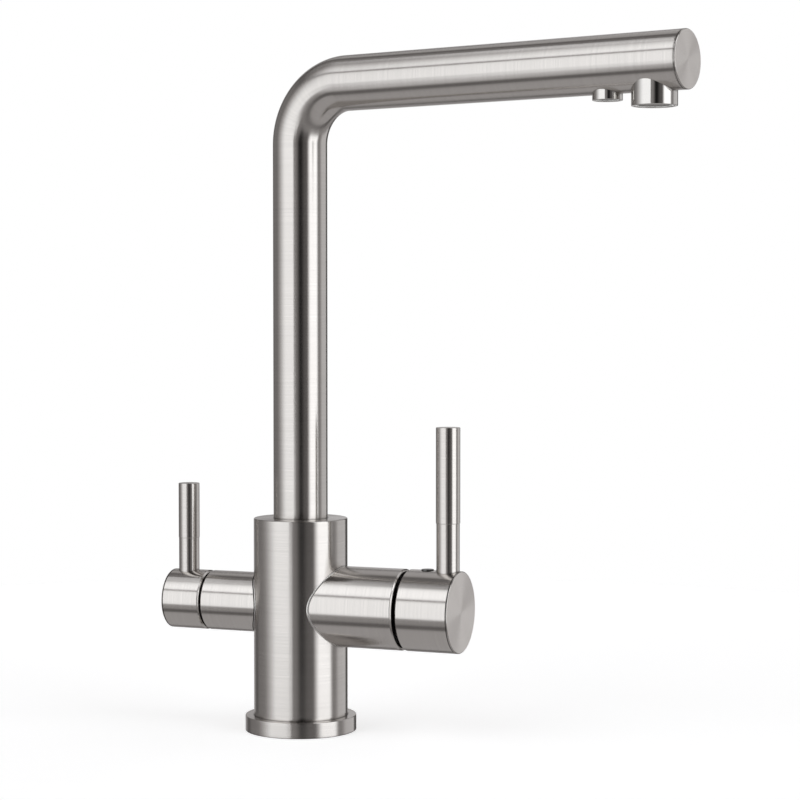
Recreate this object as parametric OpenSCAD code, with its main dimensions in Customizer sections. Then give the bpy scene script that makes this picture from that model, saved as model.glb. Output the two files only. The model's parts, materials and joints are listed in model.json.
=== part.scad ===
// Three-way kitchen tap for hot, cold and filtered water, in millimetres.
// The origin is the centre of the deck face. +Z is up, the mixer arm lies along +X,
// the filter arm along -X, and the user stands on the -Y side.

/* [Base and body] */
// Outer diameter of the foot plate
flange_d = 57.5; // [55:0.5:66]
// Thickness of the foot plate
flange_h = 8; // [6:0.5:12]
// Outer diameter of the body
body_d = 48.5; // [48:0.5:51]
// Height of the body's top face above the deck
body_top = 110; // [110:1:130]
// Wall of the body shell
body_wall = 2.5; // [1.5:0.1:2.7]
// Thickness of the body's closed top
top_plate = 5; // [4:0.5:6]
// Height of the side arms' axis above the deck
arm_z = 65; // [60:1:65]
// Width of the seal under the foot plate
gasket_w = 3; // [2:0.5:3.5]
// Thickness of the seal under the foot plate
gasket_t = 1.4; // [1:0.1:1.8]

/* [Spout] */
// Outer diameter of the spout tube
tube_d = 28; // [27:0.5:30]
// Wall of the spout tube
tube_wall = 1.5; // [1:0.1:1.8]
// Height of the spout's level axis above the deck
spout_z = 332; // [250:1:400]
// Distance from the column's axis to the face of the spout's end cap
spout_reach = 219; // [160:1:260]
// Radius of the bend, on the tube's axis
bend_r = 30; // [26:1:40]
// Resting direction of the spout, turned from the mixer arm towards +Y
spout_turn = -11; // [-90:1:90]
// Thickness of the end cap's rim
cap_t = 1.4; // [1:0.1:3]
// Length of the end cap's plug inside the tube
cap_plug = 3; // [2:0.5:4]

/* [Outlets] */
// Outer diameter of the main outlet's collar
main_d = 21.7; // [20:0.1:23]
// Distance from the spout's end face to the main outlet's axis
main_back = 17; // [16:0.5:20]
// How far the main collar stands below the tube
main_drop = 6.7; // [5:0.1:12]
// Wall of the main collar
main_wall = 1.5; // [1.2:0.1:2]
// Outer diameter of the filtered outlet's collar
filter_out_d = 14.4; // [14:0.1:16]
// Distance from the spout's end face to the filtered outlet's axis
filter_out_back = 41.5; // [38:0.5:60]
// How far the filtered collar stands below the tube
filter_out_drop = 2.9; // [2:0.1:8]
// Wall of the filtered collar
filter_out_wall = 1.3; // [1:0.1:1.5]
// Thickness of the two outlet screens
screen_t = 0.8; // [0.6:0.1:1.2]

/* [Filtered water tube] */
// Outer diameter of the inner tube for filtered water
inner_d = 8; // [7:0.5:8]
// Wall of the inner tube
inner_wall = 1; // [0.6:0.1:1.4]
// Radius of the inner tube's elbow above its outlet, on its axis
elbow_r = 8; // [6:0.5:8]

/* [Spout bearing] */
// Depth of the bearing chamber in the core
chamber_depth = 15; // [14.5:0.5:17]
// Thickness of the glide ring under the spout
glide_t = 1; // [0.6:0.1:2]
// Length of the shank inside the spout tube
shank_grip = 20; // [12:1:40]
// Depth of the two O-ring grooves in the shank
groove_depth = 2.2; // [1.6:0.1:2.4]
// Diameter of the lock screw
lock_d = 4; // [3:0.5:4]

/* [Mixer side] */
// Outer diameter of the mixer arm and its handle
mixer_d = 41.5; // [41:0.5:44]
// Wall of the mixer arm's sleeve and of the handle's skirt
mixer_wall = 1.6; // [1.4:0.1:1.8]
// Distance from the column's axis to the middle of the mixer gap
mixer_gap_x = 59.5; // [59:0.5:66]
// Width of the gap between mixer arm and handle
mixer_gap = 1.8; // [1.4:0.1:2.4]
// Length of the mixer handle
mixer_handle_len = 28.2; // [27:0.2:36]
// Thickness of the mixer handle's end wall
mixer_end_t = 4; // [3:0.5:5]
// Distance from the handle's end face back to the lever's axis
mixer_lever_back = 7.1; // [7:0.1:8]
// Diameter of the mixer lever's lower rod
mixer_rod_d = 11.8; // [10:0.1:12]
// Diameter of the mixer lever's grip
mixer_grip_d = 12.3; // [12.1:0.1:14]
// Height of the step between rod and grip above the arm's axis
mixer_step = 44.8; // [35:0.2:60]
// Height of the lever's top above the arm's axis
mixer_lever_top = 93.2; // [75:0.2:120]
// Distance from the lever's axis back to the plug over the grub screw
mixer_plug_back = 11; // [10.8:0.1:11.6]
// Diameter of that plug
mixer_plug_d = 6.4; // [5:0.1:7]

/* [Mixer cartridge] */
// Outer diameter of the ceramic cartridge
cartridge_d = 35; // [34:0.5:35]
// Distance from the handle's inner rim back to the pin that the lever tilts on
pivot_reach = 17; // [16.5:0.1:17.5]
// Distance from the pivot to the ball that moves the disc
ball_reach = 8.1; // [7.8:0.1:8.4]
// Diameter of the stem
stem_d = 9; // [8:0.5:9]
// Diameter of the stem's ball
ball_d = 4.4; // [3.6:0.1:4.6]
// Diameter of the pivot pin
pin_d = 3; // [2:0.1:3.5]
// Thickness of the cartridge's base
base_t = 3.3; // [3:0.1:3.5]
// Thickness of the fixed ceramic disc
mixer_fixed_t = 3; // [2.5:0.1:3.2]
// Length of the brass nut that holds the cartridge
nut_len = 4.5; // [3:0.5:6]

/* [Filter side] */
// Outer diameter of the filter arm and its handle
filter_d = 31; // [30:0.5:34]
// Wall of the filter arm's sleeve and of the handle's skirt
filter_wall = 1.6; // [1.2:0.1:1.8]
// Distance from the column's axis to the middle of the filter gap
filter_gap_x = 51.5; // [50:0.5:60]
// Width of the gap between filter arm and handle
filter_gap = 0.9; // [0.6:0.1:1.6]
// Length of the filter handle
filter_handle_len = 21.5; // [21:0.5:30]
// Thickness of the filter handle's end wall
filter_end_t = 3; // [2.5:0.5:4]
// Distance from the handle's end face back to the lever's axis
filter_lever_back = 8.7; // [8:0.1:9]
// Diameter of the filter lever's lower rod
filter_rod_d = 10.7; // [9:0.1:10.9]
// Diameter of the filter lever's grip
filter_grip_d = 11; // [11:0.1:13]
// Height of the step between rod and grip above the arm's axis
filter_step = 32.3; // [25:0.1:45]
// Height of the lever's top above the arm's axis
filter_lever_top = 61.2; // [50:0.2:90]

/* [Filter valve] */
// Outer diameter of the quarter-turn valve's headwork
headwork_d = 23; // [22:0.5:23]
// Diameter of the valve's ceramic discs
valve_disc_d = 18; // [16:0.5:18.5]
// Thickness of each of the valve's ceramic discs
valve_disc_t = 2.5; // [2:0.1:2.6]
// Diameter of the valve's spindle
spindle_d = 9; // [8.5:0.5:10]
// Diameter of the spindle's end in the handle
spline_d = 7.2; // [6:0.2:7.4]

/* [Ports] */
// Hole for the fixing stud's thread, M8
stud_drill_d = 6.8; // [6:0.1:8]
// Depth of the stud's thread
stud_depth = 15; // [12:0.5:20]
// Hole for each hose's thread, M10 by 1
port_drill_d = 9; // [8.5:0.1:9.5]
// Depth of each hose's thread
port_depth = 12; // [8:0.5:16]
// Distance from the column's axis to the hot and cold ports, along X
supply_x = 7; // [7:0.1:7.5]
// Distance from the column's axis to the hot and cold ports, along Y
supply_y = 10; // [9.5:0.1:10.5]
// Distance from the column's axis to the filtered water's port
filter_port_x = 12.2; // [12:0.1:13]

/* [Fits and edges] */
// Radial clearance where a piece turns or slides in another
run_gap = 0.08; // [0.05:0.01:0.1]
// Radial clearance where a piece is seated or screwed in
seat_gap = 0.05; // [0.03:0.01:0.1]
// Bevel on the body's top edge
body_bevel = 0.8; // [0.3:0.1:1.5]
// Bevel on the foot plate's edges
flange_bevel = 0.6; // [0.3:0.1:1.5]
// Bevel on the sleeves' and handles' rims at the gaps
rim_bevel = 0.8; // [0.8:0.1:1]
// Bevel on end faces and lever tops
end_bevel = 0.3; // [0.2:0.1:0.6]

/* [Hidden] */
$fn = 96;
eps = 0.01;

// Radii of the body, the core and the spout
flange_r = flange_d / 2;
body_r = body_d / 2;
shell_ri = body_r - body_wall;
core_r = shell_ri - seat_gap;
tube_r = tube_d / 2;
tube_ri = tube_r - tube_wall;
shank_r = tube_ri - seat_gap;
chamber_r = shank_r + run_gap;
inner_r = inner_d / 2;
inner_ri = inner_r - inner_wall;

// Heights in the body, worked down from its top face
plate_z = body_top - top_plate;
core_top = plate_z - glide_t;
chamber_z = core_top - chamber_depth;
shank_lift = 0.6;
shank_foot = chamber_z + shank_lift;
lock_z = (shank_foot + core_top) / 2;
lock_r = lock_d / 2;
lock_floor_r = shank_r - 1.6;
o_ring_w = 2.9;
o_ring_inset = 2.7;
o_ring_z = [shank_foot + o_ring_inset, core_top - o_ring_inset];
ledge_t = 2.5;
ledge_r = body_r - 5.8;
gasket_r = body_r + gasket_w / 2 - 0.7;

// The core's waterways
supply_r = 3.1;
mixed_x = 8.2;
cross_r = 2;
cross_wall = 0.8;
filter_turn_drop = 23;
filter_turn_z = arm_z - filter_turn_drop;
filter_rise_r = 2.6;
inner_groove_r = inner_r + 1.6;
inner_groove_w = 1.8;

// Mixer side, as distances along the arm
mixer_r = mixer_d / 2;
mixer_sleeve_ri = mixer_r - mixer_wall;
mixer_socket_r = mixer_sleeve_ri - seat_gap;
mixer_sleeve_end = mixer_gap_x - mixer_gap / 2;
mixer_rim = mixer_gap_x + mixer_gap / 2;
mixer_end = mixer_rim + mixer_handle_len;
mixer_lever_x = mixer_end - mixer_lever_back;
mixer_plug_x = mixer_lever_x - mixer_plug_back;
mixer_plug_r = mixer_plug_d / 2;
mixer_plug_proud = 0.45;
mixer_plug_seat = mixer_r - 5.2;
mixer_hub_r = stem_d / 2 + 4;
mixer_hub_start = mixer_rim + 3.6;
stem_r = stem_d / 2;
stem_back = 8.6;
stem_end = mixer_end - stem_back;
cartridge_r = cartridge_d / 2;
socket_back = 3.6;
socket_end = mixer_sleeve_end - socket_back;
nut_start = socket_end - nut_len;
socket_floor = 22;
socket_floor_t = 2.5;
mixer_seat = socket_floor + socket_floor_t;
spigot_len = 9;
socket_spigot = socket_floor - spigot_len;
socket_spigot_r = 12;
port_side = 7;
port_up = 4;
port_r = 2.5;
mix_down = 6.5;
mix_r = 2.8;
base_start = mixer_seat + 0.2;
fixed_start = mixer_seat + base_t;
moving_start = fixed_start + mixer_fixed_t;
pivot_x = mixer_rim - pivot_reach;
ball_x = pivot_x - ball_reach;
ball_r = ball_d / 2;
moving_end = ball_x + 1.1;
recess_down = 3.2;
recess_depth = 1.4;
housing_wall = 2.2;
housing_ri = cartridge_r - housing_wall;
moving_room = 3.8;
moving_r = housing_ri - moving_room;
recess_rim = 4.1;
recess_r = moving_r - recess_rim;
turret_r = housing_ri - run_gap;
turret_start = moving_end + 0.3;
turret_end = nut_start - 1.6;
neck_step = 4.4;
neck_r = cartridge_r - neck_step;
neck_wall = 3.1;
neck_ri = neck_r - neck_wall;
slot_w = stem_d + 2 * run_gap;
slot_h = 17.6;
pin_r = pin_d / 2;
seal_r = [port_r + 0.4, port_r + 1.5];
seal_depth = 1;
grub_r = 2.5;
stem_flat = stem_r - 0.5;

// Filter side, as distances along the arm
filter_r = filter_d / 2;
filter_sleeve_ri = filter_r - filter_wall;
filter_socket_r = filter_sleeve_ri - seat_gap;
filter_sleeve_end = filter_gap_x - filter_gap / 2;
filter_rim = filter_gap_x + filter_gap / 2;
filter_end = filter_rim + filter_handle_len;
filter_lever_x = filter_end - filter_lever_back;
headwork_r = headwork_d / 2;
headwork_hex_r = filter_socket_r - 0.4;
filter_socket_back = 9;
filter_socket_end = filter_sleeve_end - filter_socket_back;
headwork_hex_h = 4;
headwork_end = filter_socket_end + headwork_hex_h;
window_r = 1.7;
window_x = core_r - window_r - 2.2;
filter_moving_end = window_x - window_r - 0.1;
filter_moving_start = filter_moving_end - valve_disc_t;
filter_fixed_start = filter_moving_start - valve_disc_t;
filter_seal_t = 1;
filter_seat = filter_fixed_start - filter_seal_t;
filter_floor_t = 2;
filter_socket_start = filter_seat - filter_floor_t;
filter_rise_x = filter_socket_start - 5;
valve_disc_r = valve_disc_d / 2;
valve_chamber_len = 4.2;
valve_chamber_end = filter_moving_end + valve_chamber_len;
valve_neck_r = headwork_r - 1.2;
spindle_r = spindle_d / 2;
spline_r = spline_d / 2;
spline_end = filter_end - 6;
tongue_w = 3;
tongue_l = 14;
tongue_depth = 1;
tongue_start = filter_moving_end - tongue_depth + 0.1;
spindle_ring_x = (valve_chamber_end + headwork_end) / 2;
filter_hub_r = spline_r + 3;
filter_hub_start = filter_rim + 2;
filter_grub_x = filter_lever_x - 6;
filter_grub_r = 2;
spline_flat = spline_r - 0.5;

// The drilling over the filter arm's pocket that feeds the inner tube
cross_z = arm_z + filter_socket_r + seat_gap + cross_wall + cross_r;
seat_floor = cross_z - cross_r - 1;
inner_foot = cross_z + cross_r + 0.3;
inner_ring_z = (inner_foot + chamber_z) / 2;

// Spout, as distances along its reach
bend_start = spout_z - bend_r;
cap_face = spout_reach;
tube_end = cap_face - cap_t;
main_x = cap_face - main_back;
main_r = main_d / 2;
main_ri = main_r - main_wall;
main_foot = spout_z - tube_r - main_drop;
main_spigot_r = main_ri + 0.3;
main_throat_r = main_ri - 2.2;
main_shelf = spout_z - tube_r - 0.6;
filter_out_x = cap_face - filter_out_back;
filter_out_r = filter_out_d / 2;
filter_out_ri = filter_out_r - filter_out_wall;
filter_out_foot = spout_z - tube_r - filter_out_drop;
filter_spigot_r = filter_out_ri + 0.5;
spigot_top = spout_z - tube_ri + 3.6;
inner_tip = filter_out_foot + 5;
lip = 0.4;

// The thread between a lever's rod and its grip
thread_step = 2.2;
thread_len = 12;
thread_room = 0.6;

steel = [0.72, 0.71, 0.69];
polished = [0.8, 0.8, 0.79];
dark_steel = [0.45, 0.45, 0.46];
brass_c = [0.78, 0.63, 0.36];
ceramic_c = [0.93, 0.92, 0.88];
rubber_c = [0.12, 0.12, 0.12];
plastic_c = [0.9, 0.9, 0.92];

// A tube or disc about Z, from height a to height b, with optional bevels on its outer edges
module ring(ro, ri, a, b, bevel_a = 0, bevel_b = 0) {
    rotate_extrude()
        polygon([[ri, a], [ro - bevel_a, a], [ro, a + bevel_a],
            [ro, b - bevel_b], [ro - bevel_b, b], [ri, b]]);
}

// A solid round bar about Z, with optional bevels
module bar(r, a, b, bevel_a = 0, bevel_b = 0) {
    ring(r, 0, a, b, bevel_a, bevel_b);
}

// An O-ring about Z that fills the space between two radii
module o_ring(inside, outside, z) {
    section = (outside - inside) / 2 - 0.02;
    translate([0, 0, z])
        rotate_extrude()
            translate([(inside + outside) / 2, 0]) circle(r = section, $fn = 32);
}

// Local Z becomes the mixer arm's axis, and local -X points up
module along_mixer() {
    translate([0, 0, arm_z]) rotate([0, 90, 0]) children();
}

// Local Z becomes the filter arm's axis, and local +X points up
module along_filter() {
    translate([0, 0, arm_z]) rotate([0, -90, 0]) children();
}

// The spout's pieces are drawn along +X and turned to the resting direction
module on_spout() {
    rotate([0, 0, spout_turn]) children();
}

// Local Z becomes the spout's level axis
module along_spout() {
    translate([0, 0, spout_z]) rotate([0, 90, 0]) children();
}

// A bar that rises from the foot height, bends once and runs level to the end
module bent_bar(r, foot, end, radius) {
    translate([0, 0, foot]) cylinder(r = r, h = spout_z - radius - foot);
    translate([radius, 0, spout_z - radius])
        rotate([90, 0, 0])
            rotate_extrude(angle = 90, start = 90)
                translate([radius, 0]) circle(r = r);
    along_spout() translate([0, 0, radius]) cylinder(r = r, h = end - radius);
}

// The three port positions on the mixer's seat: hot, cold and mixed
module each_port(r_supply, r_mixed, a, b) {
    for (side = [-1, 1])
        translate([-port_up, side * port_side, a]) cylinder(r = r_supply, h = b - a);
    translate([mix_down, 0, a]) cylinder(r = r_mixed, h = b - a);
}

module base_gasket() {
    color(rubber_c) ring(gasket_r, gasket_r - gasket_w, 0, gasket_t);
}

module base_flange() {
    color(steel)
        difference() {
            ring(flange_r, ledge_r, 0, flange_h, flange_bevel / 2, flange_bevel);
            translate([0, 0, ledge_t]) cylinder(r = body_r + seat_gap, h = flange_h);
            ring(gasket_r, gasket_r - gasket_w, -eps, gasket_t);
        }
}

module body_shell() {
    color(steel)
        difference() {
            union() {
                ring(body_r, shell_ri, ledge_t, body_top, 0, body_bevel);
                ring(body_r - body_bevel, tube_r + run_gap, plate_z, body_top);
            }
            along_mixer() cylinder(r = mixer_socket_r + seat_gap, h = body_d);
            along_filter() cylinder(r = filter_socket_r + seat_gap, h = body_d);
            lock_hole();
        }
}

module lock_hole() {
    translate([0, 0, lock_z])
        rotate([-90, 0, 0]) cylinder(r = lock_r + seat_gap, h = body_d, $fn = 32);
}

module valve_block() {
    color(brass_c)
        difference() {
            union() {
                ring(core_r, 0, ledge_t, core_top);
                bar(ledge_r - seat_gap, 0, ledge_t + eps);
            }
            translate([0, 0, chamber_z]) cylinder(r = chamber_r, h = chamber_depth + 1);
            translate([0, 0, seat_floor])
                cylinder(r = inner_r + run_gap, h = core_top - seat_floor);
            ring(inner_groove_r, 0, inner_ring_z - inner_groove_w / 2,
                inner_ring_z + inner_groove_w / 2);
            along_mixer()
                translate([0, 0, socket_spigot])
                    cylinder(r = socket_spigot_r + seat_gap, h = body_d);
            // The face that the mixer's socket seats on where the core reaches out to it
            along_mixer()
                translate([0, 0, socket_floor])
                    cylinder(r = mixer_socket_r + seat_gap, h = body_d);
            along_filter()
                translate([0, 0, filter_socket_start])
                    cylinder(r = filter_socket_r + seat_gap, h = body_d);
            lock_hole();
            supply_ways();
            mixed_way();
            filter_ways();
            port_hole(0, 0, stud_drill_d / 2, stud_depth);
        }
}

// A blind hole that opens in the core's underside
module port_hole(x, y, r, depth) {
    translate([x, y, -1]) cylinder(r = r, h = depth + 1);
}

module supply_ways() {
    for (side = [-1, 1]) {
        port_hole(supply_x, side * supply_y, port_drill_d / 2, port_depth);
        translate([supply_x, side * supply_y, 0])
            cylinder(r = supply_r, h = arm_z + port_up, $fn = 32);
        along_mixer()
            translate([-port_up, side * port_side, supply_x])
                cylinder(r = port_r, h = socket_spigot - supply_x + 1, $fn = 32);
    }
}

module mixed_way() {
    along_mixer()
        translate([mix_down, 0, mixed_x])
            cylinder(r = mix_r, h = socket_spigot - mixed_x + 1, $fn = 32);
    translate([mixed_x, 0, arm_z - mix_down])
        cylinder(r = supply_r, h = chamber_z - arm_z + mix_down + 1, $fn = 32);
}

module filter_ways() {
    port_hole(-filter_port_x, 0, port_drill_d / 2, port_depth);
    translate([-filter_port_x, 0, 0])
        cylinder(r = filter_rise_r, h = filter_turn_z, $fn = 32);
    translate([-filter_port_x, 0, filter_turn_z])
        rotate([0, 90, 0])
            cylinder(r = filter_rise_r, h = filter_port_x - filter_rise_x, $fn = 32);
    translate([-filter_rise_x, 0, filter_turn_z])
        cylinder(r = filter_rise_r, h = arm_z - filter_turn_z, $fn = 32);
    along_filter() cylinder(r = filter_rise_r, h = filter_socket_start + 1, $fn = 32);
    translate([-window_x, 0, arm_z])
        cylinder(r = window_r, h = cross_z - arm_z, $fn = 32);
    translate([0, 0, cross_z])
        rotate([0, -90, 0]) cylinder(r = cross_r, h = body_d, $fn = 32);
}

module waterway_plug() {
    color(brass_c)
        translate([0, 0, cross_z])
            rotate([0, -90, 0])
                bar(cross_r - seat_gap, window_x + window_r + 0.2, core_r - 0.3, 0.2, 0.2);
}

module spout_glide_ring() {
    color(plastic_c) ring(tube_r + 3, chamber_r, core_top, plate_z);
}

module spout_lock_screw() {
    color(dark_steel)
        translate([0, 0, lock_z])
            rotate([-90, 0, 0])
                difference() {
                    bar(lock_r, lock_floor_r + 0.4, body_r - 0.6, 0.4, 0.3);
                    hex_socket(body_r - 0.6, 2, lock_r);
                }
}

// A hexagon socket cut downwards from height top
module hex_socket(top, depth, screw_r) {
    translate([0, 0, top - depth]) cylinder(r = screw_r * 0.58, h = depth + 1, $fn = 6);
}

module mixer_valve_socket() {
    color(brass_c)
        along_mixer()
            difference() {
                union() {
                    ring(socket_spigot_r, 0, socket_spigot, socket_floor + eps);
                    ring(mixer_socket_r, 0, socket_floor, mixer_seat);
                    ring(mixer_socket_r, cartridge_r + seat_gap, mixer_seat - eps, socket_end);
                }
                each_port(port_r, mix_r, socket_spigot - 1, mixer_seat + 1);
            }
}

// A sleeve whose inner end is cut to sit on the body
module arm_sleeve(ro, ri, end) {
    difference() {
        ring(ro, ri, 6, end, 0, rim_bevel);
        rotate([0, 90, 0]) cylinder(r = body_r + seat_gap, h = 2 * ro + 4, center = true);
    }
}

module mixer_arm_sleeve() {
    color(steel) along_mixer() arm_sleeve(mixer_r, mixer_sleeve_ri, mixer_sleeve_end);
}

module mixer_cartridge_seals() {
    color(rubber_c)
        along_mixer() {
            for (side = [-1, 1])
                translate([-port_up, side * port_side, 0])
                    ring(seal_r[1], seal_r[0], mixer_seat, base_start + seal_depth);
            translate([mix_down, 0, 0])
                ring(mix_r + 1.5, mix_r + 0.4, mixer_seat, base_start + seal_depth);
        }
}

module mixer_cartridge_base() {
    color(plastic_c)
        along_mixer()
            difference() {
                bar(cartridge_r, base_start, fixed_start, 0.3, 0);
                each_port(port_r, mix_r, base_start - 1, fixed_start + 1);
                each_port(seal_r[1], mix_r + 1.5, base_start - 1, base_start + seal_depth);
            }
}

module mixer_fixed_disc() {
    color(ceramic_c)
        along_mixer()
            difference() {
                bar(housing_ri - seat_gap, fixed_start, moving_start);
                each_port(port_r, mix_r, fixed_start - 1, moving_start + 1);
            }
}

module mixer_cartridge_housing() {
    color(plastic_c)
        along_mixer() {
            ring(cartridge_r, housing_ri, fixed_start, nut_start);
            ring(cartridge_r - 0.1, neck_ri, nut_start - 1.5, nut_start);
            ring(neck_r, neck_ri, nut_start - 1.5, socket_end + 0.5, 0, 0.3);
        }
}

module cartridge_nut() {
    color(brass_c)
        along_mixer()
            difference() {
                ring(cartridge_r, neck_r + 0.2, nut_start, socket_end, 0, 0.4);
                for (turn = [0:90:270])
                    rotate([0, 0, turn])
                        translate([cartridge_r - 2.6, -1.5, socket_end - 1.5])
                            cube([4, 3, 2]);
            }
}

module filter_valve_socket() {
    color(brass_c)
        along_filter()
            difference() {
                bar(filter_socket_r, filter_socket_start, filter_socket_end);
                translate([0, 0, filter_seat])
                    cylinder(r = headwork_r + seat_gap, h = filter_socket_end);
                cylinder(r = filter_rise_r, h = filter_seat + 1);
                translate([0, 0, window_x])
                    rotate([0, 90, 0]) cylinder(r = window_r, h = filter_d, $fn = 32);
            }
}

module filter_arm_sleeve() {
    color(steel) along_filter() arm_sleeve(filter_r, filter_sleeve_ri, filter_sleeve_end);
}

module filter_valve_seal() {
    color(rubber_c) along_filter() ring(valve_disc_r - 1, 4, filter_seat, filter_fixed_start);
}

// Two opposite openings through a valve disc
module disc_openings(a, b) {
    for (side = [-1, 1])
        translate([0, side * 4.6, a]) cylinder(r = 2.4, h = b - a, $fn = 32);
}

module filter_fixed_disc() {
    color(ceramic_c)
        along_filter()
            difference() {
                bar(valve_disc_r, filter_fixed_start, filter_moving_start);
                disc_openings(filter_fixed_start - 1, filter_moving_start + 1);
            }
}

module filter_valve_housing() {
    color(brass_c)
        along_filter()
            difference() {
                union() {
                    bar(headwork_r, filter_fixed_start, filter_socket_end + eps);
                    cylinder_hex(headwork_hex_r, filter_socket_end, headwork_end);
                }
                cylinder(r = valve_disc_r + run_gap, h = valve_chamber_end);
                cylinder(r = spindle_r + run_gap, h = headwork_end + 1);
                ring(headwork_r + 1, valve_neck_r, filter_moving_end, valve_chamber_end - 0.6);
                for (turn = [0:90:270])
                    translate([0, 0, window_x])
                        rotate([0, 90, turn]) cylinder(r = window_r, h = headwork_d, $fn = 32);
            }
}

// The spanner flats of the headwork
module cylinder_hex(r, a, b) {
    translate([0, 0, a]) cylinder(r = r, h = b - a, $fn = 6);
}

module spout_tube() {
    color(steel)
        on_spout()
            difference() {
                bent_bar(tube_r, plate_z, tube_end, bend_r);
                bent_bar(tube_ri, plate_z - 1, tube_end + 1, bend_r);
                translate([main_x, 0, main_foot])
                    cylinder(r = main_spigot_r + seat_gap, h = tube_r);
                translate([filter_out_x, 0, filter_out_foot])
                    cylinder(r = filter_spigot_r + seat_gap, h = tube_r);
            }
}

module spout_end_cap() {
    color(steel)
        on_spout()
            along_spout() {
                bar(tube_r, tube_end, cap_face, 0.15, end_bevel);
                ring(tube_ri - seat_gap, tube_ri - 1.5, tube_end - cap_plug, tube_end + eps);
            }
}

module spout_shank() {
    color(brass_c)
        difference() {
            bar(shank_r, shank_foot, plate_z + shank_grip, 0.6, 0.6);
            translate([0, 0, shank_foot - 1])
                cylinder(r = shank_r - groove_depth - 2, h = shank_grip + chamber_depth + top_plate + 3);
            for (z = o_ring_z)
                ring(shank_r + 1, shank_r - groove_depth, z - o_ring_w / 2, z + o_ring_w / 2);
            ring(shank_r + 1, lock_floor_r, lock_z - lock_r - 0.2, lock_z + lock_r + 0.2);
        }
}

module spout_o_rings() {
    color(rubber_c)
        for (z = o_ring_z)
            o_ring(shank_r - groove_depth, chamber_r, z);
}

// The inner tube's centre line with the elbow down to its outlet
module inner_path(r, foot, tip) {
    bent_bar(r, foot, filter_out_x - elbow_r, bend_r);
    translate([filter_out_x - elbow_r, 0, spout_z - elbow_r])
        rotate([90, 0, 0])
            rotate_extrude(angle = 90) translate([elbow_r, 0]) circle(r = r);
    translate([filter_out_x, 0, tip]) cylinder(r = r, h = spout_z - elbow_r - tip);
}

module filtered_water_tube() {
    color(steel)
        on_spout()
            difference() {
                inner_path(inner_r, inner_foot, inner_tip);
                inner_path(inner_ri, inner_foot - 1, inner_tip - 1);
            }
}

module filtered_tube_o_ring() {
    color(rubber_c) o_ring(inner_r, inner_groove_r, inner_ring_z);
}

// A collar that sits on the tube, with a spigot through the tube's wall
module outlet_collar(x, ro, spigot_r, foot) {
    translate([x, 0, 0])
        difference() {
            ring(ro, 0, foot, spout_z, lip, 0);
            translate([-ro - 1, 0, spout_z])
                rotate([0, 90, 0]) cylinder(r = tube_r + seat_gap, h = 2 * ro + 2);
        }
    translate([x, 0, 0]) ring(spigot_r, 0, foot + 1, spigot_top);
}

module main_outlet_collar() {
    color(polished)
        on_spout()
            difference() {
                outlet_collar(main_x, main_r, main_spigot_r, main_foot);
                translate([main_x, 0, main_foot - 1])
                    cylinder(r = main_ri, h = main_shelf - main_foot + 1);
                translate([main_x, 0, main_foot]) cylinder(r = main_throat_r, h = tube_d);
            }
}

module main_aerator_washer() {
    color(rubber_c)
        on_spout()
            translate([main_x, 0, 0])
                ring(main_ri - seat_gap, main_throat_r, main_shelf - 1.2, main_shelf);
}

module main_aerator_housing() {
    color(plastic_c)
        on_spout()
            translate([main_x, 0, 0]) {
                ring(main_ri - seat_gap, main_ri - 1.1, main_foot + lip, main_shelf - 1.2);
                difference() {
                    bar(main_ri - 1, main_shelf - 3, main_shelf - 1.8);
                    for (turn = [0:45:315])
                        rotate([0, 0, turn])
                            translate([main_throat_r - 1.4, 0, main_foot])
                                cylinder(r = 1.1, h = tube_d, $fn = 24);
                }
            }
}

// A round screen with rows of drilled holes
module screen(r, hole_r, pitch) {
    rows = floor((r - hole_r - 0.3) / pitch);
    difference() {
        cylinder(r = r, h = screen_t);
        for (i = [-rows:rows], j = [-rows:rows])
            if (norm([i, j]) * pitch + hole_r < r - 0.3)
                translate([i * pitch, j * pitch, -1])
                    cylinder(r = hole_r, h = screen_t + 2, $fn = 16);
    }
}

module main_aerator_screen() {
    color(dark_steel)
        on_spout()
            translate([main_x, 0, main_foot + lip + 0.2])
                screen(main_ri - 1.1 - seat_gap, 0.6, 1.9);
}

module filter_outlet_collar() {
    color(polished)
        on_spout()
            difference() {
                outlet_collar(filter_out_x, filter_out_r, filter_spigot_r, filter_out_foot);
                translate([filter_out_x, 0, filter_out_foot - 1])
                    cylinder(r = filter_out_ri, h = tube_d);
            }
}

module filter_aerator_insert() {
    color(plastic_c)
        on_spout()
            translate([filter_out_x, 0, 0])
                difference() {
                    bar(filter_out_ri - seat_gap, filter_out_foot + lip, spigot_top);
                    translate([0, 0, inner_tip]) cylinder(r = inner_r + seat_gap, h = tube_d);
                    translate([0, 0, filter_out_foot])
                        cylinder(r = filter_out_ri - 0.9, h = lip + screen_t + 1.2);
                    translate([0, 0, filter_out_foot]) cylinder(r = inner_ri, h = tube_d);
                }
}

module filter_aerator_screen() {
    color(dark_steel)
        on_spout()
            translate([filter_out_x, 0, filter_out_foot + lip + 0.2])
                screen(filter_out_ri - 0.9 - seat_gap, 0.55, 1.7);
}

module filter_outlet_washer() {
    color(rubber_c)
        on_spout()
            translate([filter_out_x, 0, 0])
                ring(filter_out_ri - 0.9 - seat_gap, inner_ri,
                    filter_out_foot + lip + 0.2 + screen_t,
                    filter_out_foot + lip + screen_t + 1.2);
}

module mixer_cartridge_turret() {
    color(plastic_c)
        along_mixer()
            difference() {
                bar(turret_r, turret_start, turret_end, 0.3, 0.3);
                translate([-slot_h / 2, -slot_w / 2, turret_start - 1])
                    cube([slot_h, slot_w, turret_end - turret_start + 2]);
                translate([0, 0, pivot_x])
                    rotate([90, 0, 0])
                        cylinder(r = pin_r + run_gap, h = 2 * turret_r + 2, center = true);
            }
}

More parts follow.
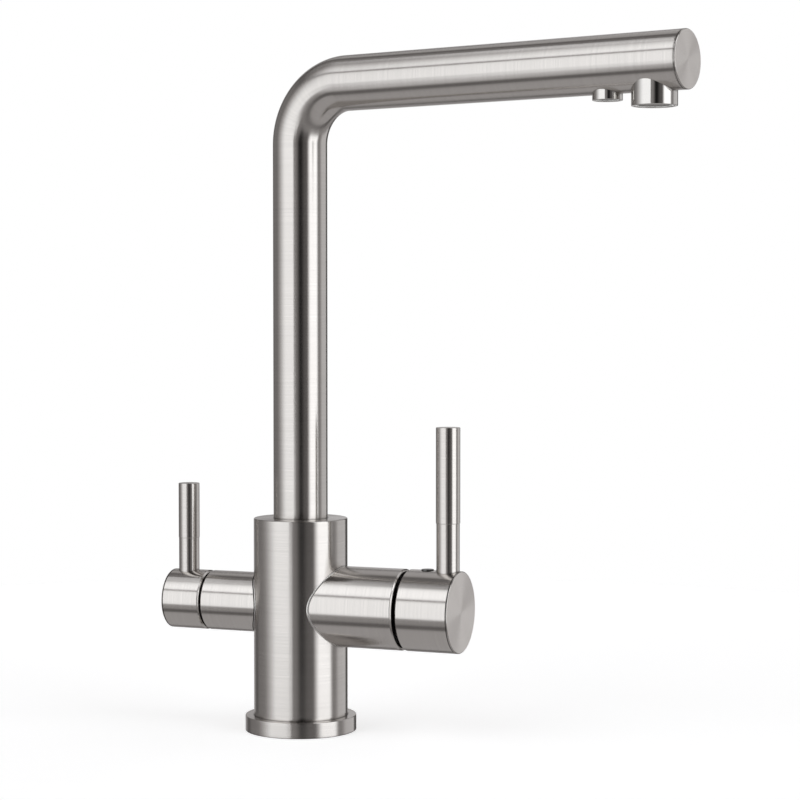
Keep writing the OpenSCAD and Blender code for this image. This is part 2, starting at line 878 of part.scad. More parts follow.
module mixer_pivot_pin() {
    color(dark_steel)
        translate([pivot_x, 0, arm_z])
            rotate([90, 0, 0]) cylinder(r = pin_r, h = 2 * turret_r - 1.4, center = true);
}

module mixer_moving_disc() {
    color(ceramic_c)
        along_mixer()
            difference() {
                bar(moving_r, moving_start, moving_end, 0, 0.3);
                translate([recess_down, 0, moving_start - 1])
                    cylinder(r = recess_r, h = recess_depth + 1);
                translate([0, 0, ball_x - ball_r - 0.1])
                    cylinder(r = ball_r + 0.15, h = moving_end);
            }
}

module mixer_stem() {
    color(dark_steel)
        along_mixer()
            difference() {
                union() {
                    translate([0, 0, ball_x]) sphere(r = ball_r);
                    bar(ball_r - 0.6, ball_x, pivot_x - 3);
                    ring(stem_r, 0, turret_start + 1.6, stem_end, 1, 0.5);
                }
                translate([0, 0, pivot_x])
                    rotate([90, 0, 0])
                        cylinder(r = pin_r + run_gap, h = stem_d + 2, center = true);
                translate([-stem_r - 1, -stem_r, mixer_plug_x - 4])
                    cube([stem_r + 1 - stem_flat, stem_d, 8]);
            }
}

module mixer_handle_cap() {
    color(steel)
        difference() {
            along_mixer()
                intersection() {
                    bar(mixer_r, mixer_rim, mixer_end, rim_bevel / 2, end_bevel);
                    union() {
                        ring(mixer_r + 1, mixer_sleeve_ri, mixer_rim, mixer_end);
                        bar(mixer_r + 1, mixer_end - mixer_end_t, mixer_end + 1);
                        bar(mixer_hub_r, mixer_hub_start, mixer_end);
                        boss_up(mixer_lever_x, mixer_rod_d / 2 + 2, mixer_d);
                        boss_up(mixer_plug_x, mixer_plug_r + 1.8, mixer_d);
                    }
                }
            along_mixer() cylinder(r = stem_r + seat_gap, h = stem_end + 0.2);
            translate([mixer_lever_x, 0, arm_z + mixer_hub_r - 1.5])
                cylinder(r = mixer_rod_d / 2 + seat_gap, h = mixer_d);
            translate([mixer_plug_x, 0, arm_z + mixer_plug_seat])
                cylinder(r = mixer_plug_r + seat_gap, h = mixer_d);
            translate([mixer_plug_x, 0, arm_z]) cylinder(r = grub_r + seat_gap, h = mixer_d);
        }
}

// A round boss from the hub up to the skirt, at a distance along the mixer arm
module boss_up(x, r, h) {
    translate([0, 0, x]) rotate([0, -90, 0]) cylinder(r = r, h = h);
}

// A lever's lower half: plain rod with a thread of smaller diameter on top
module lever_rod(x, r, foot, step) {
    translate([x, 0, arm_z]) {
        bar(r, foot, step, 0.4, 0.15);
        bar(r - thread_step, step - 1, step + thread_len, 0, 0.4);
    }
}

// A lever's upper half: a grip with a blind hole for the rod's thread
module lever_grip(x, r, rod_r, step, top) {
    translate([x, 0, arm_z])
        difference() {
            bar(r, step, top, 0.15, end_bevel + 0.15);
            translate([0, 0, step - 1])
                cylinder(r = rod_r - thread_step + seat_gap, h = 1 + thread_len + thread_room);
        }
}

module mixer_lever_rod() {
    color(steel) lever_rod(mixer_lever_x, mixer_rod_d / 2, mixer_hub_r - 1.4, mixer_step);
}

module mixer_lever_grip() {
    color(steel)
        lever_grip(mixer_lever_x, mixer_grip_d / 2, mixer_rod_d / 2, mixer_step, mixer_lever_top);
}

module mixer_grub_screw() {
    color(dark_steel)
        translate([mixer_plug_x, 0, arm_z])
            difference() {
                bar(grub_r, stem_flat, mixer_plug_seat - 4, 0.4, 0.3);
                hex_socket(mixer_plug_seat - 4, 2.4, grub_r);
            }
}

module mixer_screw_plug() {
    color(dark_steel)
        translate([mixer_plug_x, 0, arm_z])
            bar(mixer_plug_r, mixer_plug_seat, mixer_r + mixer_plug_proud, 0.2, 0.35);
}

module filter_spindle() {
    color(dark_steel)
        along_filter()
            difference() {
                union() {
                    translate([-tongue_w / 2 + run_gap, -tongue_l / 2, tongue_start])
                        cube([tongue_w - 2 * run_gap, tongue_l, tongue_depth + 2]);
                    bar(spindle_r, tongue_start + tongue_depth, headwork_end, 0, 0.3);
                    bar(spline_r, headwork_end - 1, spline_end, 0, 0.4);
                }
                ring(spindle_r + 1, spindle_r - 1.4, spindle_ring_x - 1.2, spindle_ring_x + 1.2);
                translate([-spline_r - 1, -spline_r, filter_grub_x - 3])
                    cube([spline_r + 1 - spline_flat, spline_d, 6]);
            }
}

module filter_spindle_o_ring() {
    color(rubber_c) along_filter() o_ring(spindle_r - 1.4, spindle_r + run_gap, spindle_ring_x);
}

module filter_spindle_clip() {
    color(dark_steel)
        along_filter()
            difference() {
                ring(spline_r + 2, spline_r + seat_gap, headwork_end + 0.1, headwork_end + 0.9);
                translate([0, -1, headwork_end]) cube([spline_r + 3, 2, 2]);
            }
}

module filter_moving_disc() {
    color(ceramic_c)
        along_filter()
            difference() {
                bar(valve_disc_r, filter_moving_start, filter_moving_end);
                rotate([0, 0, 90])
                    disc_openings(filter_moving_start - 1, filter_moving_end + 1);
                translate([-tongue_w / 2, -valve_disc_r - 1, filter_moving_end - tongue_depth])
                    cube([tongue_w, valve_disc_d + 2, tongue_depth + 1]);
            }
}

module filter_handle_cap() {
    color(steel)
        difference() {
            along_filter()
                intersection() {
                    bar(filter_r, filter_rim, filter_end, rim_bevel / 2, end_bevel);
                    union() {
                        ring(filter_r + 1, filter_sleeve_ri, filter_rim, filter_end);
                        bar(filter_r + 1, filter_end - filter_end_t, filter_end + 1);
                        bar(filter_hub_r, filter_hub_start, filter_end);
                        rotate([0, 0, 180]) boss_up(filter_lever_x, filter_rod_d / 2 + 1.8, filter_d);
                        boss_up(filter_grub_x, filter_grub_r + 2, filter_d);
                    }
                }
            along_filter() cylinder(r = spline_r + seat_gap, h = spline_end + 0.2);
            translate([-filter_lever_x, 0, arm_z + filter_hub_r - 1.2])
                cylinder(r = filter_rod_d / 2 + seat_gap, h = filter_d);
            translate([-filter_grub_x, 0, arm_z - filter_d])
                cylinder(r = filter_grub_r + seat_gap, h = filter_d, $fn = 32);
        }
}

module filter_lever_rod() {
    color(steel) lever_rod(-filter_lever_x, filter_rod_d / 2, filter_hub_r - 1.1, filter_step);
}

module filter_lever_grip() {
    color(steel)
        lever_grip(-filter_lever_x, filter_grip_d / 2, filter_rod_d / 2,
            filter_step, filter_lever_top);
}

module filter_grub_screw() {
    color(dark_steel)
        translate([-filter_grub_x, 0, arm_z])
            rotate([180, 0, 0])
                difference() {
                    bar(filter_grub_r, spline_flat, filter_r - 1.5, 0.4, 0.3);
                    hex_socket(filter_r - 1.5, 2, filter_grub_r);
                }
}

base_gasket();
base_flange();
body_shell();
valve_block();
waterway_plug();
spout_glide_ring();
spout_lock_screw();
mixer_valve_socket();
mixer_arm_sleeve();
mixer_cartridge_seals();
mixer_cartridge_base();
mixer_fixed_disc();
mixer_cartridge_housing();
cartridge_nut();
filter_valve_socket();
filter_arm_sleeve();
filter_valve_seal();
filter_fixed_disc();
filter_valve_housing();
spout_tube();
spout_end_cap();
spout_shank();
spout_o_rings();
filtered_water_tube();
filtered_tube_o_ring();
main_outlet_collar();
main_aerator_housing();
main_aerator_screen();
main_aerator_washer();
filter_outlet_collar();
filter_aerator_insert();
filter_aerator_screen();
filter_outlet_washer();
mixer_cartridge_turret();
mixer_pivot_pin();
mixer_moving_disc();
mixer_stem();
mixer_handle_cap();
mixer_lever_rod();
mixer_lever_grip();
mixer_grub_screw();
mixer_screw_plug();
filter_spindle();
filter_spindle_o_ring();
filter_spindle_clip();
filter_moving_disc();
filter_handle_cap();
filter_lever_rod();
filter_lever_grip();
filter_grub_screw();
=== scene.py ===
import json
from math import atan2, cos, hypot, pi, radians, sin

import bpy
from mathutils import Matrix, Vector


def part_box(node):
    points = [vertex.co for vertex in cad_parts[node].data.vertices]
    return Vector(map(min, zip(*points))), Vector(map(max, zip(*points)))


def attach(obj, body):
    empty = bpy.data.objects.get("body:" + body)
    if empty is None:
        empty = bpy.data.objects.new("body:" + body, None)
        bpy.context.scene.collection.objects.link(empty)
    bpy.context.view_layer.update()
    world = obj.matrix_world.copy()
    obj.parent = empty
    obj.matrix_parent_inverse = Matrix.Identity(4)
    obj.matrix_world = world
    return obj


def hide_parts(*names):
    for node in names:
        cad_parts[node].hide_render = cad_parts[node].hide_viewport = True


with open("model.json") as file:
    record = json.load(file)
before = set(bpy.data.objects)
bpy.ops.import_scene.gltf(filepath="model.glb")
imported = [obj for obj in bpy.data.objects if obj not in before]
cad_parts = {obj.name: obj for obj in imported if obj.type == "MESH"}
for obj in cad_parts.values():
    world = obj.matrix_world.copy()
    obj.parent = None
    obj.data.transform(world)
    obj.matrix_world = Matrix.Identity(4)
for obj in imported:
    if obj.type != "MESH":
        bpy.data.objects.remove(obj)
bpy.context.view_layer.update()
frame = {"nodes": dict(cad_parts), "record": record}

mm = 0.001

# where the camera stood: fitted to the photograph's edges, in the object's own frame
photoView = dict(at=(0.4702, -1.0266, 0.2124), tilt=87.89, heading=22.0, lens=98.37)


# small helpers for working as by hand
def clearSelection():
    bpy.ops.object.select_all(action="DESELECT")


def pick(obj):
    clearSelection()
    obj.select_set(True)
    bpy.context.view_layer.objects.active = obj


def applyModifier(obj, kind, **settings):
    pick(obj)
    bpy.ops.object.modifier_add(type=kind)
    modifier = obj.modifiers[-1]
    for key, value in settings.items():
        setattr(modifier, key, value)
    bpy.ops.object.modifier_apply(modifier=modifier.name)


def lathe(name, rings, turn=(0, 0, 0), at=(0, 0, 0), sides=192, closed=False):
    # rings are (radius, height) pairs along the profile, extruded one after the other
    clearSelection()
    bpy.ops.mesh.primitive_circle_add(vertices=sides, radius=rings[0][0], location=(0, 0, rings[0][1]))
    obj = bpy.context.object
    obj.name = name
    bpy.ops.object.transform_apply(location=True, rotation=False, scale=False)
    bpy.ops.object.mode_set(mode="EDIT")
    bpy.ops.mesh.select_all(action="SELECT")
    for (r0, z0), (r1, z1) in zip(rings, rings[1:]):
        bpy.ops.mesh.extrude_region_move(TRANSFORM_OT_translate={"value": (0, 0, z1 - z0)})
        if abs(r1 - r0) > 1e-9:
            bpy.ops.transform.resize(value=(r1 / r0, r1 / r0, 1), center_override=(0, 0, z1))
    if not closed:
        bpy.ops.mesh.edge_face_add()
        bpy.ops.mesh.select_all(action="DESELECT")
        bpy.ops.mesh.select_non_manifold()
        bpy.ops.mesh.edge_face_add()
    bpy.ops.mesh.select_all(action="SELECT")
    bpy.ops.mesh.remove_doubles(threshold=1e-7)
    bpy.ops.mesh.normals_make_consistent(inside=False)
    bpy.ops.object.mode_set(mode="OBJECT")
    obj.rotation_euler = turn
    obj.location = at
    bpy.ops.object.transform_apply(location=True, rotation=True, scale=True)
    return obj


def cut(obj, cutter):
    applyModifier(obj, "BOOLEAN", operation="DIFFERENCE", solver="EXACT", object=cutter)
    pick(cutter)
    bpy.ops.object.delete()


def bevelEdges(obj, width, segments=3):
    applyModifier(obj, "BEVEL", width=width, segments=segments, limit_method="ANGLE",
                  angle_limit=radians(28), use_clamp_overlap=True)


def bevelRings(obj, rings, width, segments=2):
    # bevels only the edges that run along the given rings of vertices
    pick(obj)
    mesh = obj.data
    for part in (mesh.polygons, mesh.edges, mesh.vertices):
        part.foreach_set("select", [False] * len(part))
    for edge in mesh.edges:
        if any(edge.vertices[0] in ring and edge.vertices[1] in ring for ring in rings):
            edge.select = True
            mesh.vertices[edge.vertices[0]].select = mesh.vertices[edge.vertices[1]].select = True
    bpy.context.tool_settings.mesh_select_mode = (False, True, False)
    bpy.ops.object.mode_set(mode="EDIT")
    bpy.ops.mesh.bevel(offset=width, segments=segments, affect="EDGES", clamp_overlap=True)
    bpy.ops.object.mode_set(mode="OBJECT")
    bpy.context.tool_settings.mesh_select_mode = (True, False, False)


def smooth(obj, angle=38):
    pick(obj)
    bpy.ops.object.shade_smooth_by_angle(angle=radians(angle))
    applyModifier(obj, "WEIGHTED_NORMAL", keep_sharp=True, weight=80)


remade = []


def place(obj, body, node, material):
    remade.append(node)
    obj.data.materials.clear()
    obj.data.materials.append(material)
    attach(obj, body)
    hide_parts(node)


def span(node):
    low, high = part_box(node)
    return (low + high) / 2, high - low


def paintFaces(obj, material, centre, way, test):
    # test gets a face's distance from the axis and its place along it
    obj.data.materials.append(material)
    index = len(obj.data.materials) - 1
    for face in obj.data.polygons:
        offset = face.center - Vector(centre)
        run = offset.dot(way)
        if test((offset - run * Vector(way)).length, run):
            face.material_index = index


seamLook = dict(width=0.4 * mm, depth=0.45 * mm)
# faces this close to the end belong to the end face
endFace = 0.05 * mm


def grooveAndEnd(radius, end, rounding, steps=6):
    # the profile's last points: a fine groove, then over a rounded edge to the end face
    start = end - rounding
    points = [(radius, start - seamLook["width"]), (radius - seamLook["depth"], start - seamLook["width"]),
              (radius - seamLook["depth"], start)]
    for k in range(steps + 1):
        angle = pi / 2 * k / steps
        points.append((radius - rounding + rounding * cos(angle), start + rounding * sin(angle)))
    return points


# shader building blocks
def addNode(tree, kind, at=(0, 0), **settings):
    node = tree.nodes.new(kind)
    node.location = at
    for key, value in settings.items():
        setattr(node, key, value)
    return node


def feed(tree, socket, value):
    if isinstance(value, bpy.types.NodeSocket):
        tree.links.new(value, socket)
    else:
        socket.default_value = value


def math(tree, operation, a, b=0.0, clamp=False):
    node = addNode(tree, "ShaderNodeMath", operation=operation, use_clamp=clamp)
    feed(tree, node.inputs[0], a)
    feed(tree, node.inputs[1], b)
    return node.outputs[0]


def vectorMath(tree, operation, a, b=(0, 0, 0)):
    node = addNode(tree, "ShaderNodeVectorMath", operation=operation)
    feed(tree, node.inputs[0], a)
    if operation == "SCALE":
        feed(tree, node.inputs["Scale"], b)
    elif operation not in ("NORMALIZE", "LENGTH"):
        feed(tree, node.inputs[1], b)
    return node.outputs["Value"] if operation == "LENGTH" else node.outputs["Vector"]


def mapRange(tree, value, low, high, toLow=0.0, toHigh=1.0, kind="LINEAR"):
    node = addNode(tree, "ShaderNodeMapRange", interpolation_type=kind, clamp=True)
    for key, v in (("Value", value), ("From Min", low), ("From Max", high), ("To Min", toLow), ("To Max", toHigh)):
        feed(tree, node.inputs[key], v)
    return node.outputs["Result"]


def noise(tree, vector, scale, detail=2.0, roughness=0.5):
    node = addNode(tree, "ShaderNodeTexNoise")
    feed(tree, node.inputs["Vector"], vector)
    feed(tree, node.inputs["Scale"], scale)
    feed(tree, node.inputs["Detail"], detail)
    feed(tree, node.inputs["Roughness"], roughness)
    return node.outputs["Fac"]


# the noise seldom leaves this range
noiseSpan = (0.3, 0.7)
# each set of marks: its output, its share of the lines per metre, and its detail
markSizes = (("Fine", 1.05, 3.0), ("Broad", 0.24, 2.0))


# the marks a lathe belt leaves: rings round local Z on the side, circles on the end faces
def buildTurnedGrain():
    group = bpy.data.node_groups.new("turnedGrain", "ShaderNodeTree")
    face = group.interface
    face.new_socket(name="Vector", in_out="INPUT", socket_type="NodeSocketVector")
    face.new_socket(name="Lines", in_out="INPUT", socket_type="NodeSocketFloat")
    face.new_socket(name="Arcs", in_out="INPUT", socket_type="NodeSocketFloat")
    for name in ("Fine", "Broad", "Cloud"):
        face.new_socket(name=name, in_out="OUTPUT", socket_type="NodeSocketFloat")
    start = addNode(group, "NodeGroupInput", (-900, 0))
    end = addNode(group, "NodeGroupOutput", (700, 0))
    parts = addNode(group, "ShaderNodeSeparateXYZ", (-700, 0))
    feed(group, parts.inputs[0], start.outputs["Vector"])
    flat = addNode(group, "ShaderNodeCombineXYZ", (-550, 100))
    feed(group, flat.inputs[0], parts.outputs[0])
    feed(group, flat.inputs[1], parts.outputs[1])
    radius = vectorMath(group, "LENGTH", flat.outputs[0])
    around = vectorMath(group, "SCALE", vectorMath(group, "NORMALIZE", flat.outputs[0]), start.outputs["Arcs"])
    along = math(group, "ADD", parts.outputs[2], radius)
    for name, share, detail in markSizes:
        lift = addNode(group, "ShaderNodeCombineXYZ")
        step = math(group, "MULTIPLY", math(group, "MULTIPLY", along, start.outputs["Lines"]), share)
        feed(group, lift.inputs[2], step)
        spot = vectorMath(group, "ADD", around, lift.outputs[0])
        feed(group, end.inputs[name], noise(group, spot, scale=1.0, detail=detail, roughness=0.6))
    feed(group, end.inputs["Cloud"], noise(group, start.outputs["Vector"], scale=45.0, detail=3.0, roughness=0.55))
    return group


turnedGrain = buildTurnedGrain()
print("grain group ready")

steelLook = dict(tint=(0.655, 0.628, 0.602, 1), streak=0.1, rough=0.2, roughSpread=0.03, aniso=0.8,
                 lines=5200.0, arcs=0.2, bump=0.05, depth=0.00003)
# end faces: a rougher, more strongly brushed steel, with a lighter tint that is painted light; the spout's tip is
# painted a little less light
litFaceLook = dict(steelLook, tint=(0.84, 0.803, 0.768, 1), rough=0.33, aniso=0.88, streak=0.06)
litTipLook = dict(litFaceLook, tint=(0.75, 0.717, 0.686, 1))
polishLook = dict(tint=(0.69, 0.672, 0.648, 1), streak=0.03, rough=0.1, roughSpread=0.04, aniso=0.3,
                  lines=3000.0, arcs=2.0, bump=0.03, depth=0.00002)


def newMaterial(name):
    material = bpy.data.materials.new(name)
    material.use_nodes = True
    return material, material.node_tree, material.node_tree.nodes["Principled BSDF"]


# how much of each set of marks shows, and the painted shade in creases: how far and how fast a piece's colour
# darkens where it meets another
markShares = dict(fine=0.7, broad=0.3)
creaseShadeLook = dict(reach=1.6 * mm, low=0.3, high=0.85, depth=0.6)


def metalMaterial(name, look, centre=(0, 0, 0), turn=(0, 0, 0), way=(0, 0, 1), onTube=False):
    # centre and turn bring the piece's own axis onto local Z; way is that axis
    material, tree, shader = newMaterial(name)
    if onTube:
        source = addNode(tree, "ShaderNodeAttribute", (-1000, 0), attribute_name="tubeCoord").outputs["Vector"]
        ring = addNode(tree, "ShaderNodeAttribute", (-1000, -300), attribute_name="ringWay").outputs["Vector"]
    else:
        coords = addNode(tree, "ShaderNodeTexCoord", (-1200, 0)).outputs["Object"]
        mapping = addNode(tree, "ShaderNodeMapping", (-1000, 0), vector_type="TEXTURE")
        feed(tree, mapping.inputs["Vector"], coords)
        mapping.inputs["Location"].default_value = centre
        mapping.inputs["Rotation"].default_value = turn
        source = mapping.outputs[0]
        offset = vectorMath(tree, "SUBTRACT", coords, centre)
        ring = vectorMath(tree, "CROSS_PRODUCT", offset, way)
    tangent = addNode(tree, "ShaderNodeVectorTransform", vector_type="VECTOR",
                      convert_from="OBJECT", convert_to="WORLD")
    feed(tree, tangent.inputs[0], ring)
    grain = addNode(tree, "ShaderNodeGroup", (-750, 0))
    grain.node_tree = turnedGrain
    feed(tree, grain.inputs["Vector"], source)
    feed(tree, grain.inputs["Lines"], look["lines"])
    feed(tree, grain.inputs["Arcs"], look["arcs"])
    marks = math(tree, "ADD", math(tree, "MULTIPLY", grain.outputs["Fine"], markShares["fine"]),
                 math(tree, "MULTIPLY", grain.outputs["Broad"], markShares["broad"]))
    shade = mapRange(tree, marks, *noiseSpan, 1 - look["streak"], 1 + look["streak"])
    tint = addNode(tree, "ShaderNodeMix", data_type="RGBA", blend_type="MULTIPLY")
    tint.inputs[0].default_value = 1.0
    tint.inputs[6].default_value = look["tint"]
    # painted shade: ambient occlusion darkens the base colour in creases and where pieces meet
    creaseProbe = addNode(tree, "ShaderNodeAmbientOcclusion", (-600, 400), samples=8)
    creaseProbe.inputs["Distance"].default_value = creaseShadeLook["reach"]
    creaseShade = mapRange(tree, creaseProbe.outputs["AO"], creaseShadeLook["low"], creaseShadeLook["high"],
                       1 - look.get("creaseShade", creaseShadeLook["depth"]), 1.0)
    feed(tree, tint.inputs[7], math(tree, "MULTIPLY", shade, creaseShade))
    feed(tree, shader.inputs["Base Color"], tint.outputs[2])
    rough = mapRange(tree, grain.outputs["Cloud"], *noiseSpan,
                     look["rough"] - look["roughSpread"] / 2, look["rough"] + look["roughSpread"] / 2)
    feed(tree, shader.inputs["Roughness"], rough)
    shader.inputs["Metallic"].default_value = 1.0
    shader.inputs["Anisotropic"].default_value = look["aniso"]
    shader.inputs["Anisotropic Rotation"].default_value = 0.25
    feed(tree, shader.inputs["Tangent"], tangent.outputs[0])
    bump = addNode(tree, "ShaderNodeBump")
    bump.inputs["Strength"].default_value = look["bump"]
    bump.inputs["Distance"].default_value = look["depth"]
    feed(tree, bump.inputs["Height"], marks)
    feed(tree, shader.inputs["Normal"], bump.outputs[0])
    return material


def upright(name, centre, radius, low, high, sides=96):
    return lathe(name, [(radius, low), (radius, high)], at=(centre.x, centre.y, 0), sides=sides)


# foot plate and body
footLook = dict(edge=0.35 * mm, ledge=5.8 * mm)
footRadius = span("base_flange")[1].x / 2
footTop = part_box("base_flange")[1].z
bodyRadius = span("body_shell")[1].x / 2
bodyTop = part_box("body_shell")[1].z
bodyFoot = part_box("body_shell")[0].z
seam = 0.05 * mm

steelUpright = metalMaterial("steelUpright", steelLook)
foot = lathe("footPlate", [
    (bodyRadius + seam, bodyFoot), (bodyRadius + seam, footTop), (footRadius, footTop),
    (footRadius, 0), (bodyRadius - footLook["ledge"], 0), (bodyRadius - footLook["ledge"], bodyFoot),
    (bodyRadius + seam, bodyFoot)], closed=True)
bevelEdges(foot, footLook["edge"])
smooth(foot)
place(foot, "tap_body", "base_flange", steelUpright)

tubeRadius = span("spout_end_cap")[1].z / 2
bodyLook = dict(topBevel=0.6 * mm, plate=5 * mm, spoutGap=0.08 * mm, wall=2.5 * mm, cutFrom=5 * mm)
plateFoot = bodyTop - bodyLook["plate"]
body = lathe("bodyShell", [
    (bodyRadius, bodyFoot), (bodyRadius, bodyTop), (tubeRadius + bodyLook["spoutGap"], bodyTop),
    (tubeRadius + bodyLook["spoutGap"], plateFoot), (bodyRadius - bodyLook["wall"], plateFoot),
    (bodyRadius - bodyLook["wall"], bodyFoot), (bodyRadius, bodyFoot)], closed=True)
bevelEdges(body, bodyLook["topBevel"])
lockMid, lockSize = span("spout_lock_screw")
lockHole = lathe("lockHole", [(lockSize.x / 2 + seam, 0), (lockSize.x / 2 + seam, 2 * bodyRadius)],
                 turn=(radians(-90), 0, 0), at=(0, 0, lockMid.z), sides=48)
cut(body, lockHole)
armHeight = span("mixer_arm_sleeve")[0].z
alongX = (0, radians(90), 0)
alongMinusX = (0, radians(-90), 0)
for name, node, toward in (("mixerOpening", "mixer_valve_socket", alongX),
                           ("filterOpening", "filter_valve_socket", alongMinusX)):
    openingRadius = span(node)[1].y / 2 + seam
    cut(body, lathe(name, [(openingRadius, bodyLook["cutFrom"]), (openingRadius, 2 * bodyRadius)],
                    turn=toward, at=(0, 0, armHeight), sides=96))
smooth(body)
place(body, "tap_body", "body_shell", steelUpright)
print("foot and body ready")

# arms and handles, turned about X
armPlace = dict(centre=(0, 0, armHeight), turn=alongX, way=(1, 0, 0))
steelAcross = metalMaterial("steelAcross", steelLook, **armPlace)


def sideBox(node):
    # radius about the arm's axis, and the nearest and farthest points from the column
    low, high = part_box(node)
    return (high.z - low.z) / 2, min(abs(low.x), abs(high.x)), max(abs(low.x), abs(high.x))


# lip, neck and foot are where the rings are drawn before they are laid on the body's curve
saddleLook = dict(bead=0.28 * mm, groove=0.42 * mm, depth=0.5 * mm, edge=0.2 * mm, touch=0.02 * mm,
                  lip=7 * mm, neck=6 * mm, foot=5 * mm, formReach=40 * mm, formSides=512)
# painted shade: inner walls and groove floors get a rougher steel with a near-black tint standing in for the shade
# inside them
recessShadeSteel = metalMaterial("recessShadeSteel", dict(tint=(0.11, 0.107, 0.103, 1), streak=0.12, rough=0.45, roughSpread=0.1,
                                          aniso=0.2, lines=1500.0, arcs=2.0, bump=0.2, depth=0.00005), **armPlace)
# painted highlight: the bead is the steel with a near-white tint and no painted crease shade, so it shows as a
# bright line along the saddle
beadHighlightSteel = metalMaterial("beadHighlightSteel", dict(litFaceLook, tint=(0.95, 0.93, 0.9, 1), creaseShade=0.0), **armPlace)


def makeSleeve(name, node, toward, wall, rimBevel):
    # a fine bead lies on the body, then a groove, and then the sleeve's own lip
    radius, _, end = sideBox(node)
    neck = radius - saddleLook["depth"]
    lipAt, beadAt, footAt = saddleLook["lip"], saddleLook["neck"], saddleLook["foot"]
    beadEdge = bodyRadius + saddleLook["bead"]
    sleeve = lathe(name, [
        (radius, lipAt), (radius, end - rimBevel), (radius - rimBevel, end), (radius - wall, end),
        (radius - wall, footAt), (radius, footAt), (radius, beadAt), (neck, beadAt), (neck, lipAt),
        (radius, lipAt)], turn=toward, at=(0, 0, armHeight), closed=True)

    def ringAt(out, run):
        return {v.index for v in sleeve.data.vertices if abs(abs(v.co.x) - run) < 0.01 * mm
                and (out is None or abs(hypot(v.co.y, v.co.z - armHeight) - out) < 0.01 * mm)}

    corners = [ringAt(radius, lipAt), ringAt(radius, beadAt), ringAt(radius, end - rimBevel),
               ringAt(radius - rimBevel, end), ringAt(radius - wall, end)]
    for group, run, formRadius in (("lip", lipAt, beadEdge + saddleLook["groove"]), ("bead", beadAt, beadEdge),
                                   ("foot", footAt, bodyRadius + saddleLook["touch"])):
        sleeve.vertex_groups.new(name=group).add(list(ringAt(None, run)), 1.0, "REPLACE")
        form = upright("saddleForm", Vector(), formRadius, armHeight - saddleLook["formReach"],
                       armHeight + saddleLook["formReach"], sides=saddleLook["formSides"])
        applyModifier(sleeve, "SHRINKWRAP", target=form, wrap_method="PROJECT", use_project_x=True,
                      use_positive_direction=toward == alongX, use_negative_direction=toward != alongX,
                      vertex_group=group)
        pick(form)
        bpy.ops.object.delete()
    bevelRings(sleeve, corners, saddleLook["edge"])
    smooth(sleeve)
    place(sleeve, "tap_body", node, steelAcross)
    way = (1, 0, 0) if toward == alongX else (-1, 0, 0)
    # inner walls and the groove floor take the near-black painted shade
    paintFaces(sleeve, recessShadeSteel, (0, 0, armHeight), way,
               lambda out, run: out < radius - 0.6 * wall and run < end - 0.1 * mm
               or out < radius - 0.9 * saddleLook["depth"] and run < bodyRadius + 1 * mm)
    # the bead's faces get the painted-highlight copy of the steel
    sleeve.data.materials.append(beadHighlightSteel)
    for face in sleeve.data.polygons:
        if face.material_index == 0 and hypot(face.center.x, face.center.y) < beadEdge:
            face.material_index = 2


def makeHandle(name, node, toward, look):
    radius, rim, end = sideBox(node)
    inside = radius - look["wall"]
    handle = lathe(name, [
        (inside, end - look["endWall"]), (inside, rim), (radius - look["rim"], rim),
        (radius, rim + look["rim"])] + grooveAndEnd(radius, end, look["rounding"]),
        turn=toward, at=(0, 0, armHeight))
    bevelEdges(handle, look["edge"], segments=2)
    return handle


def drill(handle, name, centre, radius, look, side=1):
    # a round hole through the handle's wall, from above, or with side -1 from below
    low, high = sorted((side * look["drillFrom"], side * look["drillTo"]))
    cut(handle, upright(name, centre, radius + seam, armHeight + low, armHeight + high))


def finishHandle(handle, node, bodyName, way, look):
    radius, _, end = sideBox(node)
    smooth(handle)
    place(handle, bodyName, node, steelAcross)
    # inner walls and the groove floor take the near-black painted shade
    paintFaces(handle, recessShadeSteel, (0, 0, armHeight), way,
               lambda out, run: out < radius - 0.6 * look["wall"] and run < end - 2 * mm
               or out < radius - 0.6 * seamLook["depth"] and 0 < end - look["rounding"] - run < seamLook["width"])
    # the end faces get the lighter, painted-light copy of the steel
    paintFaces(handle, litFaceAcross, (0, 0, armHeight), way, lambda out, run: run > end - endFace)


mixerSide = dict(wall=1.6 * mm, endWall=4 * mm, rim=0.8 * mm, rounding=0.6 * mm, edge=0.12 * mm,
                 drillFrom=5 * mm, drillTo=40 * mm)
filterSide = dict(mixerSide, endWall=3 * mm, drillFrom=4 * mm)
litFaceAcross = metalMaterial("litFaceAcross", litFaceLook, **armPlace)
makeSleeve("mixerSleeve", "mixer_arm_sleeve", alongX, mixerSide["wall"], mixerSide["rim"])
makeSleeve("filterSleeve", "filter_arm_sleeve", alongMinusX, filterSide["wall"], filterSide["rim"])
print("sleeves ready")


leverLook = dict(rodEdge=0.25 * mm, gripEdge=0.3 * mm, overlap=3 * mm, boreStep=0.6 * mm, sides=128)


